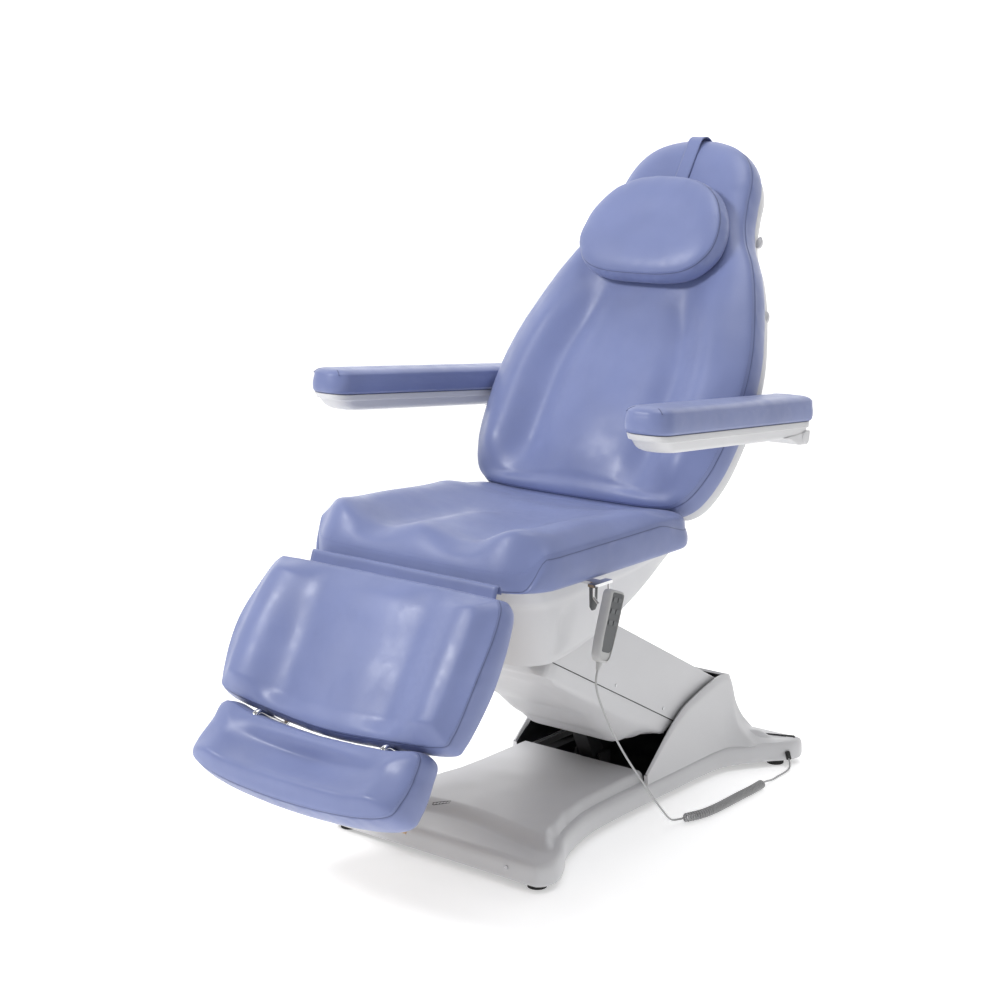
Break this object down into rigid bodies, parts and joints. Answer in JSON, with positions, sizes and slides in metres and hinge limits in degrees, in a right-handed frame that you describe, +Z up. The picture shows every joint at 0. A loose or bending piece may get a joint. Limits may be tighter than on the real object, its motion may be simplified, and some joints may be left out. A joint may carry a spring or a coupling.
{
  "type": "medical exam table",
  "caption": "Powered treatment chair with lifting arm base, tilting seat back, leg and foot rest, fold-up armrests, head pillow and wired handset.",
  "frame": {"origin": "on the floor under the centre of the whole chair", "axes": "+Z up; the sitter faces -Y; the handset hangs at +X, the sitter's left"},
  "size_m": [0.9326, 1.5201, 1.4594],
  "materials": {
    "steel_frame": "black powder coat",
    "white_cover": "satin moulded",
    "upholstery": "coated fabric over foam, fine grain",
    "skin": "coated fabric, fine grain",
    "bright_steel": "zinc plated",
    "chrome": "polished",
    "black_rubber": "matte",
    "cord_jacket": "satin jacket",
    "plywood": "raw plywood",
    "dark_plastic": "moulded",
    "handset_grey": "satin moulded",
    "keypad_grey": "fine texture",
    "key_rubber": "matte"
  },
  "bodies": {
    "base": {"base_frame": "steel_frame", "base_cover": "white_cover", "base_pins": "bright_steel", "lift_pivot_shaft": "bright_steel", "rubber_feet": "black_rubber", "foot_studs": "bright_steel", "cover_screws": "bright_steel", "control_box": "dark_plastic", "mains_inlet": "dark_plastic", "cord_gland": "black_rubber", "hand_cord_lead": "cord_jacket", "hand_cord_curl": "cord_jacket", "hand_cord_tail": "cord_jacket"},
    "lift_arm": {"lift_arm_frame": "steel_frame", "arm_cover_top": "white_cover", "arm_cover_tub": "white_cover", "arm_cover_screws": "bright_steel"},
    "level_link": {"level_link": "steel_frame"},
    "lift_motor": {"lift_motor": "dark_plastic"},
    "lift_rod": {"lift_rod": "bright_steel"},
    "seat": {"seat_frame": "steel_frame", "seat_shafts": "bright_steel", "hinge_pins": "bright_steel", "seat_pan": "white_cover", "seat_board": "plywood", "seat_cushion": "upholstery", "gap_flap": "skin", "handset_holder": "chrome"},
    "back_motor": {"back_motor": "dark_plastic"},
    "back_rod": {"back_rod": "bright_steel"},
    "leg_motor": {"leg_motor": "dark_plastic"},
    "leg_rod": {"leg_rod": "bright_steel"},
    "leg": {"leg_frame": "steel_frame", "leg_board": "plywood", "leg_cushion": "upholstery"},
    "foot": {"foot_rods": "chrome", "foot_board": "plywood", "foot_cushion": "upholstery"},
    "back": {"back_frame": "steel_frame", "back_shell": "white_cover", "back_cushion": "upholstery", "arm_shaft": "bright_steel", "head_pillow": "upholstery", "pillow_strap": "skin"},
    "left_arm": {"left_arm_beam": "steel_frame", "left_arm_shell": "white_cover", "left_arm_pad": "upholstery"},
    "right_arm": {"right_arm_beam": "steel_frame", "right_arm_shell": "white_cover", "right_arm_pad": "upholstery"},
    "handset": {"handset_case": "handset_grey", "handset_keypad": "keypad_grey", "handset_boot": "black_rubber"},
    "key_1": {"key_1": "key_rubber"},
    "key_2": {"key_2": "key_rubber"},
    "key_3": {"key_3": "key_rubber"},
    "key_4": {"key_4": "key_rubber"},
    "key_5": {"key_5": "key_rubber"},
    "key_6": {"key_6": "key_rubber"}
  },
  "joints": [
    {"name": "arm_lift", "type": "hinge", "parent": "base", "child": "lift_arm", "pos_m": [0, 0.478, 0.17], "axis": [-1, 0, 0], "range_deg": [0, 30]},
    {"name": "seat_level", "type": "hinge", "parent": "lift_arm", "child": "seat", "pos_m": [0, -0.04201, 0.45], "axis": [-1, 0, 0], "range_deg": [-30, 0]},
    {"name": "link_swing", "type": "hinge", "parent": "base", "child": "level_link", "pos_m": [0, 0.478, 0.11], "axis": [-1, 0, 0], "range_deg": [0, 30]},
    {"name": "lift_motor_tilt", "type": "hinge", "parent": "base", "child": "lift_motor", "pos_m": [0, 0.25, 0.07], "axis": [-1, 0, 0], "range_deg": [0, 27.33]},
    {"name": "lift_rod_slide", "type": "slide", "parent": "lift_motor", "child": "lift_rod", "axis": [0, -0.4284, 0.9036], "range_m": [0, 0.12893]},
    {"name": "back_recline", "type": "hinge", "parent": "seat", "child": "back", "pos_m": [0, 0.193, 0.6], "axis": [-1, 0, 0], "range_deg": [0, 57]},
    {"name": "back_motor_tilt", "type": "hinge", "parent": "seat", "child": "back_motor", "pos_m": [0.06, -0.16, 0.552], "axis": [-1, 0, 0], "range_deg": [0, 1.95]},
    {"name": "back_rod_slide", "type": "slide", "parent": "back_motor", "child": "back_rod", "axis": [0, 0.9994, -0.0349], "range_m": [-0.06761, 0]},
    {"name": "leg_tilt", "type": "hinge", "parent": "seat", "child": "leg", "pos_m": [0, -0.382, 0.6], "axis": [-1, 0, 0], "range_deg": [-25, 55]},
    {"name": "leg_motor_tilt", "type": "hinge", "parent": "seat", "child": "leg_motor", "pos_m": [-0.06, 0.06, 0.555], "axis": [-1, 0, 0], "range_deg": [-0.44, 0.74]},
    {"name": "leg_rod_slide", "type": "slide", "parent": "leg_motor", "child": "leg_rod", "axis": [0, -0.9995, -0.0305], "range_m": [-0.02614, 0.05631]},
    {"name": "foot_slide", "type": "slide", "parent": "leg", "child": "foot", "axis": [0, -0.5736, -0.8192], "range_m": [0, 0.12]},
    {"name": "left_arm_fold", "type": "hinge", "parent": "back", "child": "left_arm", "pos_m": [0.385, 0.41797, 0.84011], "axis": [-1, 0, 0], "range_deg": [0, 90]},
    {"name": "right_arm_fold", "type": "hinge", "parent": "back", "child": "right_arm", "pos_m": [-0.385, 0.41797, 0.84011], "axis": [-1, 0, 0], "range_deg": [0, 90]},
    {"name": "handset_lift", "type": "slide", "parent": "seat", "child": "handset", "axis": [0, 0, 1], "range_m": [0, 0.03]},
    {"name": "key_1_press", "type": "slide", "parent": "handset", "child": "key_1", "axis": [-1, 0, 0], "range_m": [0, 0.0008], "stiffness_N_per_m": 400},
    {"name": "key_2_press", "type": "slide", "parent": "handset", "child": "key_2", "axis": [-1, 0, 0], "range_m": [0, 0.0008], "stiffness_N_per_m": 400},
    {"name": "key_3_press", "type": "slide", "parent": "handset", "child": "key_3", "axis": [-1, 0, 0], "range_m": [0, 0.0008], "stiffness_N_per_m": 400},
    {"name": "key_4_press", "type": "slide", "parent": "handset", "child": "key_4", "axis": [-1, 0, 0], "range_m": [0, 0.0008], "stiffness_N_per_m": 400},
    {"name": "key_5_press", "type": "slide", "parent": "handset", "child": "key_5", "axis": [-1, 0, 0], "range_m": [0, 0.0008], "stiffness_N_per_m": 400},
    {"name": "key_6_press", "type": "slide", "parent": "handset", "child": "key_6", "axis": [-1, 0, 0], "range_m": [0, 0.0008], "stiffness_N_per_m": 400}
  ],
  "couplings": [
    {"joint": "seat_level", "follows": "arm_lift", "ratio": -1},
    {"joint": "link_swing", "follows": "arm_lift", "ratio": 1},
    {"joint": "lift_motor_tilt", "follows": "arm_lift", "ratio": 0.90419},
    {"joint": "lift_rod_slide", "follows": "arm_lift", "m_per_rad": 0.24432},
    {"joint": "back_motor_tilt", "follows": "back_recline", "ratio": 0.03064},
    {"joint": "back_rod_slide", "follows": "back_recline", "m_per_rad": -0.066959},
    {"joint": "leg_motor_tilt", "follows": "leg_tilt", "ratio": 0.0098},
    {"joint": "leg_rod_slide", "follows": "leg_tilt", "m_per_rad": 0.057613}
  ]
}
